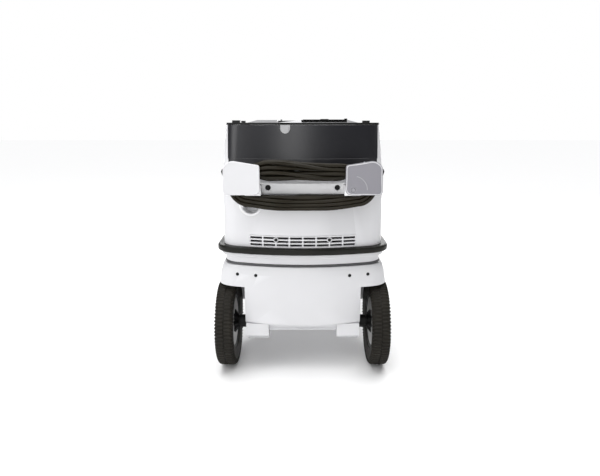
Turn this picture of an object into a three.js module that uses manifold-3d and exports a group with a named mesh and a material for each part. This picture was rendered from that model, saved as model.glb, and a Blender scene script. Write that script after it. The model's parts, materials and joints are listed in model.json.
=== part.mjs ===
// A mobile dust extractor: a wheeled dirt container under a suction head, with a hose tray on top.
// Millimetres, +Z up. The origin is on the floor under the middle of the machine. The rear, where the
// mains cable is wound on its holder, faces -Y. The operating side, with the controls, faces +Y.

import * as THREE from "three";
import { mergeVertices } from "three/addons/utils/BufferGeometryUtils.js";
import Module from "manifold-3d";

const wasm = await Module();
wasm.setup();

// ---------------------------------------------------------------- driving dimensions

const GAP = 0.3; // between pieces that touch
const HALF_WIDTH = 182.5; // to the outside of the rear tyres
const HALF_LENGTH = 315; // to the cable brackets behind and the grip in front

const WHEEL = { radius: 95, width: 39, y: -205, axleRadius: 8 };
const CASTOR = { x: 118, y: 228, trail: 22, radius: 38, width: 24 };

const FLOOR_Z = 110; // underside of the dirt container
const CONTAINER_TOP = 236;
const SKIRT_BOTTOM = 241.3; // lowest edge of the head base, over the tank seal
const BASE_TOP = 265; // head base
const BAND_TOP = 279; // black bumper band
const TRAY_FLOOR = 456;
const TRAY_PAD = 462; // the raised middle of the tray's floor
const TRAY_TOP = 522;
const RIM_TOP = 526;
const CONSOLE_TOP = 533;
const CONSOLE_BACK = 140; // where the hose tray ends and the front console starts

const CONTAINER = { halfWidth: 179, rear: -276, front: 298, corner: 34, rearBow: 22, frontBow: 16 };
const BAND = { halfWidth: 180, rear: -281, front: 303, corner: 36, rearBow: 22, frontBow: 16 };
const HEAD = { halfWidth: 167, rear: -272, front: 290, corner: 32, rearBow: 22, frontBow: 16 };
const HEAD_SIDE = [[260, 0], [400, 1.2], [430, 2.6], [460, 5.2], [560, 14.6]]; // z and inset of its side

const LATCH = { y: 20, halfLength: 36, pocketX: 168.7, hingeZ: 211, top: 287 };
const POST = { x: 95, z: 403 }; // the two posts that the cable is wound round
const PLATE_FRONT = -HALF_LENGTH;
const PLATE_BACK = -309;
const COIL = { halfRun: 94, z: 409, radius: 48.5, front: -308.6, back: -279.4 };
const COIL_HOLE = { halfWidth: 113, bottom: 390, top: 417 };
const CABLE_DIAMETER = 7.5;
const CUP = { x: -105, y: -256, z: 367, turn: -14, radius: 22 };
const PLUG = { x: 127, y: -267.5, z: 410 };
const PORT = { x: 60, z: 178 };
const PANEL = { y: 237, z: 510.5, slope: -30, halfWidth: 125, halfLength: 40 };

// ---------------------------------------------------------------- materials

function finish(colour, roughness, metalness = 0) {
  return new THREE.MeshStandardMaterial({ color: colour, roughness, metalness });
}

const lightPlastic = finish(0xdfdfe3, 0.45);
const blackPlastic = finish(0x141416, 0.5);
const glossPlastic = finish(0x1b1b20, 0.12);
const greyPlastic = finish(0x6d6e72, 0.5);
const rubber = finish(0x121212, 0.8);
const steel = finish(0xb9bbbe, 0.3, 1);
const cableSheath = finish(0x17150f, 0.5);
const paper = finish(0xe6dfc8, 0.9);

// ---------------------------------------------------------------- solids

// The same surface with its corners shared and its collapsed triangles left out.
function shared(geometry) {
  const bare = geometry.clone();
  bare.deleteAttribute("normal");
  bare.deleteAttribute("uv");
  const merged = mergeVertices(bare, 1e-4);
  const kept = [];
  const corners = merged.index.array;
  for (let i = 0; i < corners.length; i += 3) {
    const [a, b, c] = corners.slice(i, i + 3);
    if (a !== b && b !== c && c !== a) kept.push(a, b, c);
  }
  merged.setIndex(kept);
  return merged;
}

function toManifold(geometry) {
  const merged = shared(geometry);
  const vertProperties = new Float32Array(merged.attributes.position.array);
  const triVerts = new Uint32Array(merged.index.array);
  return new wasm.Manifold(new wasm.Mesh({ numProp: 3, vertProperties, triVerts }));
}

function toGeometry(manifold) {
  const mesh = manifold.getMesh();
  const geometry = new THREE.BufferGeometry();
  geometry.setAttribute("position", new THREE.BufferAttribute(mesh.vertProperties, 3));
  geometry.setIndex(new THREE.BufferAttribute(mesh.triVerts, 1));
  geometry.computeVertexNormals();
  return geometry;
}

const combine = (operation) => (first, ...others) =>
  toGeometry(others.reduce((sum, next) => sum[operation](toManifold(next)), toManifold(first)));
const join = combine("add");
const cut = combine("subtract");
const common = combine("intersect");

// A box from its lowest and highest x, y and z.
function box([x0, x1], [y0, y1], [z0, z1]) {
  const shape = new THREE.BoxGeometry(x1 - x0, y1 - y0, z1 - z0);
  return shape.translate((x0 + x1) / 2, (y0 + y1) / 2, (z0 + z1) / 2);
}

function rodX(radius, [x0, x1], y, z, sides = 24) {
  const rod = new THREE.CylinderGeometry(radius, radius, x1 - x0, sides);
  return rod.rotateZ(Math.PI / 2).translate((x0 + x1) / 2, y, z);
}

function rodY(radius, x, [y0, y1], z, sides = 24) {
  return new THREE.CylinderGeometry(radius, radius, y1 - y0, sides).translate(x, (y0 + y1) / 2, z);
}

function rodZ(radius, x, y, [z0, z1], sides = 24) {
  const rod = new THREE.CylinderGeometry(radius, radius, z1 - z0, sides);
  return rod.rotateX(Math.PI / 2).translate(x, y, (z0 + z1) / 2);
}

// A turned piece about the y axis. The profile is a list of [radius, height] that runs anticlockwise.
function turned(profile, sides = 32) {
  return shared(new THREE.LatheGeometry(profile.map(([r, h]) => new THREE.Vector2(r, h)), sides));
}

const turnedAlongX = (profile, sides) => turned(profile, sides).rotateZ(-Math.PI / 2);
const turnedAlongZ = (profile, sides) => turned(profile, sides).rotateX(Math.PI / 2);

function outline(points) {
  return new THREE.Shape(points.map(([x, y]) => new THREE.Vector2(x, y)));
}

// A shape drawn in x and z, as seen from the rear, given a thickness from y0 to y1.
function slab(shape, [y0, y1], curveSegments = 8) {
  const solid = new THREE.ExtrudeGeometry(shape, { depth: y1 - y0, bevelEnabled: false, curveSegments });
  return solid.rotateX(Math.PI / 2).translate(0, y1, 0);
}

// A shape drawn in y and z, as seen from the right side, given a thickness from x0 to x1.
function sideSlab(shape, [x0, x1], curveSegments = 8) {
  const solid = new THREE.ExtrudeGeometry(shape, { depth: x1 - x0, bevelEnabled: false, curveSegments });
  return solid.rotateX(Math.PI / 2).rotateZ(Math.PI / 2).translate(x0, 0, 0);
}

// The plan of a housing: straight sides, rounded corners, and bowed ends.
function planOutline({ halfWidth, rear, front, corner, rearBow, frontBow }) {
  const side = halfWidth - corner;
  const rearEnd = rear + rearBow;
  const frontEnd = front - frontBow;
  const rearTurn = rearEnd + (2 * rearBow * corner) / side;
  const frontTurn = frontEnd - (2 * frontBow * corner) / side;
  const plan = new THREE.Shape();
  plan.moveTo(-side, rearEnd);
  plan.quadraticCurveTo(0, rear - rearBow, side, rearEnd);
  plan.quadraticCurveTo(halfWidth, rearTurn, halfWidth, rearTurn + corner);
  plan.lineTo(halfWidth, frontTurn - corner);
  plan.quadraticCurveTo(halfWidth, frontTurn, side, frontEnd);
  plan.quadraticCurveTo(0, front + frontBow, -side, frontEnd);
  plan.quadraticCurveTo(-halfWidth, frontTurn, -halfWidth, frontTurn - corner);
  plan.lineTo(-halfWidth, rearTurn + corner);
  plan.quadraticCurveTo(-halfWidth, rearTurn, -side, rearEnd);
  return plan;
}

// A housing that follows its plan upward. Each level is [z, inset], with the inset from the full plan.
function loft(plan, levels, curveSegments = 7) {
  const layers = levels.length - 1;
  const options = { depth: layers, steps: layers, bevelEnabled: false, curveSegments };
  const solid = new THREE.ExtrudeGeometry(planOutline(plan), options);
  const place = solid.attributes.position;
  const middle = (plan.rear + plan.front) / 2;
  const halfLength = (plan.front - plan.rear) / 2;
  for (let i = 0; i < place.count; i++) {
    const [z, inset] = levels[Math.round(place.getZ(i))];
    const x = place.getX(i) * (1 - inset / plan.halfWidth);
    const y = middle + (place.getY(i) - middle) * (1 - inset / halfLength);
    place.setXYZ(i, x, y, z);
  }
  return solid;
}

// How far forward the bowed rear wall of a plan stands at x.
function rearAt({ rear, rearBow, halfWidth, corner }, x) {
  return rear + rearBow * (x / (halfWidth - corner)) ** 2;
}

// ---------------------------------------------------------------- the assembly

const machine = new THREE.Group();

function add(name, geometry, material, parent = machine) {
  const mesh = new THREE.Mesh(geometry, material);
  mesh.name = name;
  parent.add(mesh);
  return mesh;
}

// Calls build("left", -1) and build("right", 1).
function bothSides(build) {
  build("left", -1);
  build("right", 1);
}

// An interval across the machine, mirrored to the side.
const across = (side, near, far) => (side < 0 ? [-far, -near] : [near, far]);

function latchPocket(side, depth = LATCH.pocketX) {
  const { y, halfLength, hingeZ, top } = LATCH;
  const long = [y - halfLength - 2, y + halfLength + 2];
  return box(across(side, depth, 200), long, [hingeZ - 14, top + 3]);
}

// ---------------------------------------------------------------- dirt container and chassis

const ARCH = { inner: 121, top: 192.8, radius: 97.8 };
const BLIND_HOLE_Z = 218.5;

function wheelWell(side, thickness = 0) {
  const width = across(side, ARCH.inner - thickness, 210);
  return join(
    rodX(ARCH.radius + thickness, width, WHEEL.y, WHEEL.radius, 36),
    box(width, [-340, WHEEL.y], [-10, ARCH.top + thickness]),
  );
}

function containerShell() {
  const wall = 5.5;
  const levels = [[FLOOR_Z, 7], [116, 2], [150, 0], [194, 0], [219, 3.5], [231, 7], [CONTAINER_TOP, 10]];
  const hollow = levels.map(([z, inset], i) => [i === 0 ? FLOOR_Z + wall : z, inset + wall]);
  hollow[1][0] = 122;
  hollow[hollow.length - 1][0] = CONTAINER_TOP + 1;
  const inside = cut(
    loft(CONTAINER, hollow),
    wheelWell(-1, wall), wheelWell(1, wall),
    latchPocket(-1, LATCH.pocketX - 4), latchPocket(1, LATCH.pocketX - 4),
  );
  return cut(
    loft(CONTAINER, levels), inside,
    wheelWell(-1), wheelWell(1), latchPocket(-1), latchPocket(1),
  );
}

// A leg carries the rear axle between the wheels.
function axleLeg(side) {
  const shape = outline([[-263, 112], [-264, 86], [-252, 76], [-182, 70.5], [-158, 82], [-146, 112]]);
  return sideSlab(shape, across(side, 72, ARCH.inner - 1.5));
}

function castorBoss(side) {
  return rodZ(15, side * CASTOR.x, CASTOR.y, [101, 134]);
}

function container() {
  const axleBore = rodX(WHEEL.axleRadius + GAP, [-150, 150], WHEEL.y, WHEEL.radius);
  const solid = join(containerShell(), axleLeg(-1), axleLeg(1), castorBoss(-1), castorBoss(1));
  const stemBore = (side) => rodZ(7 + GAP, side * CASTOR.x, CASTOR.y, [90, 126]);
  const blindHoles = [-136, -97, 97, 136].map((x) => {
    const surface = rearAt(CONTAINER, x) + 3;
    return rodY(3.6, x, [surface - 20, surface + 3], BLIND_HOLE_Z, 16);
  });
  const portBore = rodY(31, PORT.x, [250, 320], PORT.z, 40);
  const reach = LATCH.halfLength + 4.5;
  const pegBore = (side) => rodY(3.3, side * 175, [LATCH.y - reach, LATCH.y + reach], LATCH.hingeZ, 20);
  return cut(solid, axleBore, stemBore(-1), stemBore(1), pegBore(-1), pegBore(1), portBore, ...blindHoles);
}

add("container", container(), lightPlastic);

const sealRing = (inset, z0, z1) => loft(CONTAINER, [[z0, inset], [z1, inset]]);
add(
  "tank_seal",
  cut(
    sealRing(13, CONTAINER_TOP + GAP, SKIRT_BOTTOM - GAP),
    sealRing(22, CONTAINER_TOP - 1, SKIRT_BOTTOM + 1),
  ),
  rubber,
);

// ---------------------------------------------------------------- suction head

function headBase() {
  const skirt = loft(CONTAINER, [[SKIRT_BOTTOM, 14], [256, 14]]);
  const flange = loft(CONTAINER, [[255, 8], [256.5, 7], [BASE_TOP - GAP, 7]]);
  const filterSeat = box([-101, 101], [-26, 146], [SKIRT_BOTTOM - 2, 270]);
  return cut(join(skirt, flange), filterSeat, latchPocket(-1), latchPocket(1));
}

function seamBand() {
  const levels = [[BASE_TOP, 3], [267, 0.6], [269, 0], [275, 0], [277, 0.6], [BAND_TOP - GAP, 3]];
  const hole = loft(BAND, [[BASE_TOP - 2, 26], [BAND_TOP + 2, 26]]);
  return cut(loft(BAND, levels), hole, latchPocket(-1), latchPocket(1));
}

// The head's outside, grown inward by extra, from z0 to z1.
function headLoft(extra, z0, z1) {
  const inset = (z) => {
    const above = HEAD_SIDE.findIndex(([level]) => level > z);
    const [[za, a], [zb, b]] = HEAD_SIDE.slice(above - 1, above + 1);
    return extra + THREE.MathUtils.mapLinear(z, za, zb, a, b);
  };
  const between = HEAD_SIDE.map(([z]) => z).filter((z) => z > z0 && z < z1);
  return loft(HEAD, [z0, ...between, z1].map((z) => [z, inset(z)]));
}

const trayBlock = (grow, floor, top) =>
  box([-150 - grow, 150 + grow], [-320, CONSOLE_BACK - 2 + grow], [floor, top]);

// The sloping front of the console, in the frame of the control panel: z is out of the panel.
function onSlope(geometry) {
  return geometry.rotateX(THREE.MathUtils.degToRad(PANEL.slope)).translate(0, PANEL.y, PANEL.z);
}

function grilleBlock(grow) {
  return box([-108 - grow, 108 + grow], [-320, -200], [280 - grow, 304 + grow]);
}

function onCup(geometry) {
  return geometry.rotateZ(THREE.MathUtils.degToRad(CUP.turn)).translate(CUP.x, CUP.y, CUP.z);
}

function headHousing() {
  const lid = { x: [-GAP, 123 + GAP], y: [151.7, 194.3] };
  return cut(
    headLoft(0, BAND_TOP, CONSOLE_TOP),
    headHollow(),
    box([-146, 146], [152, 248], [440, 476]),
    box([-200, 200], [-320, CONSOLE_BACK], [TRAY_TOP, 560]),
    trayBlock(GAP, TRAY_FLOOR - GAP, 560),
    onSlope(box([-250, 250], [-60, 160], [0, 120])),
    onSlope(box([-PANEL.halfWidth - GAP, PANEL.halfWidth + GAP], [-40.3, 40.3], [-6, 4])),
    box([-69, -GAP], [100, 300], [RIM_TOP, 560]),
    box([-60, 60], [258, 320], [402, 448]),
    box(lid.x, lid.y, [523, 560]),
    box([6, 117], [158, 188], [488, 524]),
    sideRamp(-1), sideRamp(1),
    grilleBlock(GAP),
    onCup(rodY(CUP.radius + GAP, 0, [-30, 40], 0)),
    onCup(rodY(CUP.radius + 3 + GAP, 0, [-30, 2], 0)),
  );
}

// The console's top falls to the rim at each side.
function sideRamp(side) {
  const wedge = [[124, CONSOLE_TOP], [170, RIM_TOP - 5], [170, 560], [124, 560]];
  return slab(outline(wedge.map(([x, z]) => [side * x, z])), [100, 300]);
}

// The motor space, which leaves a recess behind the front grip for fingers.
function headHollow() {
  return cut(headLoft(5, BAND_TOP - 1, 446), box([-66, 66], [252, 320], [396, 454]));
}

add("head_base", headBase(), lightPlastic);
add("seam_band", seamBand(), blackPlastic);
add("head_housing", headHousing(), lightPlastic);

// ---------------------------------------------------------------- hose tray and its rim

const NOTCH = { x: -34, radius: 9.5, bottom: 505.5 };

function notchCutter() {
  const { x, radius, bottom } = NOTCH;
  const shape = new THREE.Shape();
  shape.moveTo(x + radius, 540);
  shape.lineTo(x - radius, 540);
  shape.lineTo(x - radius, bottom + radius);
  shape.absarc(x, bottom + radius, radius, Math.PI, 2 * Math.PI, false);
  return slab(shape, [-320, -230]);
}

function hoseTray() {
  const outside = common(
    headLoft(0, TRAY_FLOOR - 10, TRAY_TOP + 5),
    trayBlock(0, TRAY_FLOOR, TRAY_TOP - GAP),
  );
  const inside = common(headLoft(5, TRAY_FLOOR, TRAY_TOP + 8), box([-145, 145], [-320, 133], [461, 560]));
  const floorPad = box([-130, 130], [-215, 118], [460, TRAY_PAD]);
  return join(cut(outside, inside, notchCutter()), floorPad);
}

function trayRim() {
  const ring = common(
    headLoft(0, TRAY_TOP, RIM_TOP),
    box([-200, 200], [-320, CONSOLE_BACK - GAP], [500, 560]),
  );
  const hole = common(headLoft(9, TRAY_TOP - 2, RIM_TOP + 2), box([-200, 200], [-320, 130], [500, 560]));
  const stud = (x0, x1, height) => box([x0, x1], [-238, -226], [RIM_TOP - 1, RIM_TOP + height]);
  const studs = [stud(-139, -124, 4.5), stud(-121, -113, 3.5), stud(118, 132, 4)];
  return cut(join(cut(ring, hole), ...studs), notchCutter());
}

add("hose_tray", hoseTray(), glossPlastic);
add("tray_rim", trayRim(), blackPlastic);

// ---------------------------------------------------------------- exhaust grille

function exhaustGrille() {
  const skin = cut(headLoft(-0.8, BAND_TOP - 2, 320), headLoft(4.2, BAND_TOP - 4, 330));
  const slots = [];
  const pitch = 27;
  for (const z of [284.8, 292, 299.2]) {
    for (let column = 0; column < 8; column++) {
      const x = (column - 3.5) * pitch;
      slots.push(box([x - 12, x + 12], [-320, -200], [z - 2.3, z + 2.3]));
    }
  }
  const boss = (x) => rodY(5.2, x, [rearAt(HEAD, x) - 1, rearAt(HEAD, x) + 4], 296, 24);
  const bore = (x) => rodY(2.4, x, [-320, -200], 296, 16);
  return cut(join(cut(common(skin, grilleBlock(0)), ...slots), boss(-54), boss(54)), bore(-54), bore(54));
}

add("exhaust_grille", exhaustGrille(), lightPlastic);
bothSides((name, side) => {
  const x = side * 54;
  const face = rearAt(HEAD, x) - 1;
  const screw = join(
    rodY(3.4, x, [face - 2.2, face - GAP], 296, 20),
    rodY(2, x, [face - 1, face + 12], 296, 16),
  );
  add(`grille_screw_${name}`, screw, steel);
});

// ---------------------------------------------------------------- cable holder

const BAR = { halfWidth: 80.5, z: [391.5, 410.5], front: -281 };

function holderBar() {
  const block = join(
    box([-BAR.halfWidth, BAR.halfWidth], [BAR.front, -240], BAR.z),
    box([-110, -BAR.halfWidth + 1], [PLATE_BACK + GAP, -240], BAR.z),
    box([BAR.halfWidth - 1, 110], [PLATE_BACK + GAP, -240], BAR.z),
  );
  const screwBore = (x) => rodY(5.6, x, [-330, BAR.front + 5], 403, 20);
  const pinBore = rodY(4.3, POST.x, [-330, -290], POST.z, 20);
  return cut(block, headLoft(-GAP, BAND_TOP, 500), screwBore(-67.5), screwBore(67.5), pinBore);
}

add("cable_holder", holderBar(), lightPlastic);
bothSides((name, side) => {
  const x = side * 67.5;
  const head = rodY(5.2, x, [BAR.front + 2, BAR.front + 5 - GAP], 403, 20);
  const socket = rodY(2.4, x, [BAR.front, BAR.front + 3.6], 403, 6);
  add(`holder_screw_${name}`, cut(head, socket), blackPlastic);
});

// A bracket plate as seen from the rear, with its inner edge towards the middle.
function bracketShape(side) {
  const shape = new THREE.Shape();
  shape.moveTo(side * 92, 393);
  shape.lineTo(side * 144, 393);
  shape.quadraticCurveTo(side * 150, 393, side * 150, 401);
  shape.lineTo(side * 149, 441);
  shape.quadraticCurveTo(side * 148, 449, side * 141, 453);
  shape.quadraticCurveTo(side * 136, 457, side * 128, 456.5);
  shape.lineTo(side * 85, 449.5);
  shape.quadraticCurveTo(side * 80.5, 449, side * 80.5, 444);
  shape.lineTo(side * 80.5, 403);
  shape.quadraticCurveTo(side * 81, 395, side * 92, 393);
  return shape;
}

function bracketPlate(side) {
  return slab(bracketShape(side), [PLATE_FRONT, PLATE_BACK], 6);
}

add("bracket_left", bracketPlate(-1), lightPlastic);
add("bracket_right", cut(bracketPlate(1), rodY(4.3, POST.x, [-330, -300], POST.z, 20)), lightPlastic);
add("bracket_pin", rodY(4, POST.x, [PLATE_FRONT + 0.6, -291], POST.z, 20), greyPlastic);

// ---------------------------------------------------------------- mains cable

// The strain relief stands in the cup and points along the wall. Its frame is the cup's own.
const RELIEF = { x: -14, y: 4, z: -1, lean: 25, length: 30 };

function onRelief(geometry) {
  const turn = THREE.MathUtils.degToRad(-90 - RELIEF.lean);
  return onCup(geometry.rotateZ(turn).translate(RELIEF.x, RELIEF.y, RELIEF.z));
}

function cableCup() {
  const { radius } = CUP;
  const bowl = turned([
    [0, 18], [radius - 2.5, 18], [radius - 2.5, 0.5], [radius - 1, -1.2], [radius + 3, -1.2],
    [radius + 3, 1.7], [radius, 1.7], [radius, 20], [0, 20],
  ]);
  const boss = new THREE.CylinderGeometry(8, 8, 14, 24);
  boss.rotateZ(THREE.MathUtils.degToRad(-90 - RELIEF.lean));
  const bossX = RELIEF.x - 7.3 * Math.cos(THREE.MathUtils.degToRad(RELIEF.lean));
  const bossY = RELIEF.y + 7.3 * Math.sin(THREE.MathUtils.degToRad(RELIEF.lean));
  const trimmed = common(boss.translate(bossX, bossY, RELIEF.z), rodY(radius - 0.5, 0, [0, 19], 0, 40));
  return onCup(join(bowl, trimmed));
}

add("cable_cup", cableCup(), lightPlastic);
add(
  "strain_relief",
  onRelief(turned([[0, 0], [6.4, 0], [6.4, 4], [4.6, RELIEF.length], [0, RELIEF.length]], 20)),
  rubber,
);

// A round cable through a list of points.
function cableTube(points) {
  const curve = new THREE.CatmullRomCurve3(points.map((point) => new THREE.Vector3(...point)));
  const section = new THREE.Shape().absarc(0, 0, CABLE_DIAMETER / 2, 0, 2 * Math.PI, false);
  const steps = Math.ceil(curve.getLength() / (2 * CABLE_DIAMETER)) + 2;
  return new THREE.ExtrudeGeometry(section, { steps, extrudePath: curve, curveSegments: 10 });
}

function coilRing() {
  const { halfRun, z, radius, front, back } = COIL;
  const outside = new THREE.Shape();
  outside.absarc(halfRun, z, radius, -Math.PI / 2, Math.PI / 2, false);
  outside.absarc(-halfRun, z, radius, Math.PI / 2, 1.5 * Math.PI, false);
  const { halfWidth, bottom, top } = COIL_HOLE;
  const hole = box([-halfWidth, halfWidth], [front - 5, back + 5], [bottom, top]);
  return cut(slab(outside, [front, back], 12), hole);
}

add(
  "cable_lead",
  cableTube([
    [-93.8, -268.1, 366], [-89.3, -271.7, 366], [-82, -274.6, 366.6],
    [-72, -275.2, 368], [-60, -275.2, 370.5],
  ]),
  cableSheath,
);
add("cable_coil", coilRing(), cableSheath);
add(
  "cable_tail",
  cableTube([
    [100, -275.2, 374.8], [108, -273.6, 378.2], [118, -270.8, 383],
    [125, -268.3, 389.5], [127, -267.6, 394.6],
  ]),
  cableSheath,
);

function mainsPlug() {
  const { x, y, z } = PLUG;
  const body = box([x - 13.5, x + 13.5], [y - 10.5, y + 10.5], [z, z + 28]);
  const neck = turnedAlongZ([[0, -14], [4.6, -14], [8.5, 0], [8.5, 2], [0, 2]], 20).translate(x, y, z);
  const pin = (dx, dy) => rodZ(2.2, x + dx, y + dy, [z + 27, z + 42], 14);
  return join(body, neck, pin(-7, 0), pin(7, 0));
}

add("mains_plug", mainsPlug(), blackPlastic);

// ---------------------------------------------------------------- rear wheels

const TYRE_PROFILE = [
  [60, -15], [66, -17], [88, -19.5], [93.5, -17], [95, -12], [95, 12],
  [93.5, 17], [88, 19.5], [66, 17], [60, 15], [60, -15],
];
const HUB_PROFILE = [
  [8.3, -22], [20, -22], [22, -16], [24, -6], [50, -6], [54, -13], [59.7, -13],
  [59.7, 13], [54, 13], [50, 4], [24, 4], [20, 14], [8.3, 14], [8.3, -22],
];
const CAP_PROFILE = [[0, 14.3], [26, 14.3], [26, 15.5], [22, 18.4], [0, 19.3]];

add("rear_axle", rodX(WHEEL.axleRadius, [-176, 176], WHEEL.y, WHEEL.radius), steel);
bothSides((name, side) => {
  const wheel = new THREE.Group();
  wheel.position.set(side * (HALF_WIDTH - WHEEL.width / 2), WHEEL.y, WHEEL.radius);
  wheel.rotation.z = side < 0 ? Math.PI : 0;
  machine.add(wheel);
  add(`tyre_${name}`, turnedAlongX(TYRE_PROFILE, 40), rubber, wheel);
  add(`wheel_hub_${name}`, turnedAlongX(HUB_PROFILE, 32), greyPlastic, wheel);
  add(`wheel_cap_${name}`, turnedAlongX(CAP_PROFILE, 32), blackPlastic, wheel);
  const bush = cut(
    rodX(14, across(side, ARCH.inner - 1, 140.5), WHEEL.y, WHEEL.radius, 24),
    rodX(WHEEL.axleRadius + GAP, [-200, 200], WHEEL.y, WHEEL.radius),
  );
  add(`axle_bush_${name}`, bush, blackPlastic);
});

// ---------------------------------------------------------------- front castors

// Drawn about the swivel axis. The wheel trails to the rear.
const CASTOR_AXLE = { y: -CASTOR.trail, z: CASTOR.radius, radius: 4 };
const BRAKE_PIVOT = { y: -31, z: 82 };

function castorFork() {
  const cheek = outline([
    [-31, 34], [-27, 28], [-17, 28], [-13, 34], [16, 86], [16, 92], [-38, 92], [-38, 77], [-31, 66],
  ]);
  const pair = [-1, 1].map((side) => sideSlab(cheek, across(side, 14.5, 19)));
  const solid = join(rodZ(23, 0, 0, [87, 99.5]), rodZ(7, 0, 0, [99, 125]), ...pair);
  return cut(
    solid,
    rodX(CASTOR_AXLE.radius + GAP, [-40, 40], CASTOR_AXLE.y, CASTOR_AXLE.z),
    rodX(2.8, [-40, 40], BRAKE_PIVOT.y, BRAKE_PIVOT.z),
  );
}

function castorBrake() {
  const lever = outline([[-27, 79], [-27, 86], [-36, 88], [-60, 81], [-65, 77], [-62, 75], [-40, 80]]);
  return join(sideSlab(lever, [-13.8, 13.8]), rodX(2.5, [-18, 18], BRAKE_PIVOT.y, BRAKE_PIVOT.z));
}

bothSides((name, side) => {
  const castor = new THREE.Group();
  castor.position.set(side * CASTOR.x, CASTOR.y, 0);
  machine.add(castor);
  add(`castor_fork_${name}`, castorFork(), greyPlastic, castor);
  const bore = CASTOR_AXLE.radius + GAP;
  const tread = turnedAlongX([
    [bore, -12], [34, -12], [38, -8], [38, 8], [34, 12], [bore, 12], [bore, -12],
  ]);
  tread.translate(0, CASTOR_AXLE.y, CASTOR_AXLE.z);
  add(`castor_wheel_${name}`, tread, rubber, castor);
  add(`castor_axle_${name}`, rodX(4, [-20.5, 20.5], CASTOR_AXLE.y, CASTOR_AXLE.z, 20), steel, castor);
  add(`castor_brake_${name}`, castorBrake(), blackPlastic, castor);
});

// ---------------------------------------------------------------- side latches and strap lugs

function sideLatch(side) {
  const { y, halfLength, hingeZ } = LATCH;
  const x = 175;
  const shape = new THREE.Shape();
  shape.absarc(x, hingeZ, 5.2, Math.PI, 2 * Math.PI, false);
  const hook = [[181.5, 226], [181.5, 270], [178, 286], [168.8, 286.3], [168.8, 283.2], [171, 281]];
  for (const [px, pz] of hook) {
    shape.lineTo(px, pz);
  }
  shape.lineTo(171, 217);
  const plate = slab(shape, [y - halfLength, y + halfLength]);
  const latch = join(plate, rodY(3, x, [y - halfLength - 3.5, y + halfLength + 3.5], hingeZ, 20));
  return side < 0 ? latch.rotateZ(Math.PI).translate(0, 2 * y, 0) : latch;
}

function strapLug(side) {
  const profile = [[160, 434], [168, 432], [170, 427], [166.5, 416], [160, 416]];
  const shape = outline(profile.map(([x, z]) => [side * x, z]));
  return cut(slab(shape, [-206, -192]), headLoft(-GAP, 400, 450));
}

bothSides((name, side) => {
  add(`side_latch_${name}`, sideLatch(side), blackPlastic);
  add(`strap_lug_${name}`, strapLug(side), blackPlastic);
});

// ---------------------------------------------------------------- front console

const KNOB = { x: -62, radius: 18 };
const DIAL = { x: 4, radius: 13 };
const SOCKET = { x: 78, half: 23 };

function controlPanel() {
  const { halfWidth, halfLength } = PANEL;
  const plate = box([-halfWidth, halfWidth], [-halfLength, halfLength], [-5.7, 1]);
  const { x, half } = SOCKET;
  const seat = box([x - half, x + half], [-half, half], [-20, 20]);
  return cut(plate, seat, rodZ(6, KNOB.x, 0, [-20, 20]), rodZ(6, DIAL.x, 0, [-20, 20]));
}

function knob({ x, radius }, height) {
  const grip = turnedAlongZ([
    [0, -5], [5.7, -5], [5.7, 1.3], [radius, 1.3], [radius, 4], [radius - 3, height], [0, height],
  ]);
  const pointer = box([-2.4, 2.4], [-radius + 2, radius - 5], [height - 4, height + 4]);
  return join(grip, pointer).translate(x, 0, 0);
}

function applianceSocket() {
  const { x, half } = SOCKET;
  const edge = half - GAP;
  const block = box([x - edge, x + edge], [-edge, edge], [-5.4, 2.5]);
  const contact = (dx) => rodZ(2.6, x + dx, 0, [-4.6, 10], 16);
  return cut(block, rodZ(19.5, x, 0, [-3.2, 10], 36), contact(-9.5), contact(9.5));
}

function socketFlap() {
  const { x, half } = SOCKET;
  const cover = box([x - half - 2, x + half + 2], [-half - 3, half + 3], [2.9, 6]);
  const barrel = rodX(3, [x - half, x + half], -half - 4.5, 4.4, 20);
  const tab = box([x - 8, x + 8], [half + 2, half + 7], [3.6, 6]);
  return join(cover, barrel, tab);
}

add("control_panel", onSlope(controlPanel()), blackPlastic);
add("mode_knob", onSlope(knob(KNOB, 15)), greyPlastic);
add("suction_dial", onSlope(knob(DIAL, 10)), greyPlastic);
add("appliance_socket", onSlope(applianceSocket()), greyPlastic);
add("socket_flap", onSlope(socketFlap()), blackPlastic);

function consoleLid() {
  const cover = box([GAP, 122.7], [152, 194], [523.3, 534.4]);
  const tab = box([50, 73], [190, 199], [533.4, 536]);
  const ridge = box([117, 122.7], [156, 190], [534, 537]);
  return join(cover, tab, ridge);
}

add("console_lid", consoleLid(), blackPlastic);

function frontGrip() {
  const bar = rodX(11, [-84, 84], 303, 425, 28);
  const posts = [-1, 1].map((side) => box(across(side, 64, 84), [255, 303], [415, 435]));
  return cut(join(bar, ...posts), headLoft(-GAP, BAND_TOP, 500));
}

add("front_grip", frontGrip(), blackPlastic);

const PORT_PROFILE = [
  [25, 262], [30.7, 262], [30.7, 298.3], [40, 298.3], [40, 303],
  [34, 304], [34, 313.5], [31, 315], [25, 315], [25, 262],
];
add("hose_port", turned(PORT_PROFILE).translate(PORT.x, 0, PORT.z), blackPlastic);

// ---------------------------------------------------------------- filters and suction motor

function mainFilter() {
  const pleats = 14;
  const y0 = -22;
  const pitch = 164 / pleats;
  const under = [];
  const over = [];
  for (let i = 0; i <= pleats; i++) {
    const fold = i % 2 ? 9 : 0;
    under.push([y0 + i * pitch, 200 + fold]);
    over.unshift([y0 + i * pitch, 252 + fold]);
  }
  return sideSlab(outline([...under, ...over]), [-98, 98]);
}

add("main_filter", mainFilter(), paper);
const BAG = { halfWidth: 148, rear: -86, front: 198, corner: 50, rearBow: 10, frontBow: 10 };
add("filter_bag", loft(BAG, [[118, 14], [127, 4], [150, 0], [178, 6], [194, 26]], 6), paper);

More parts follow.
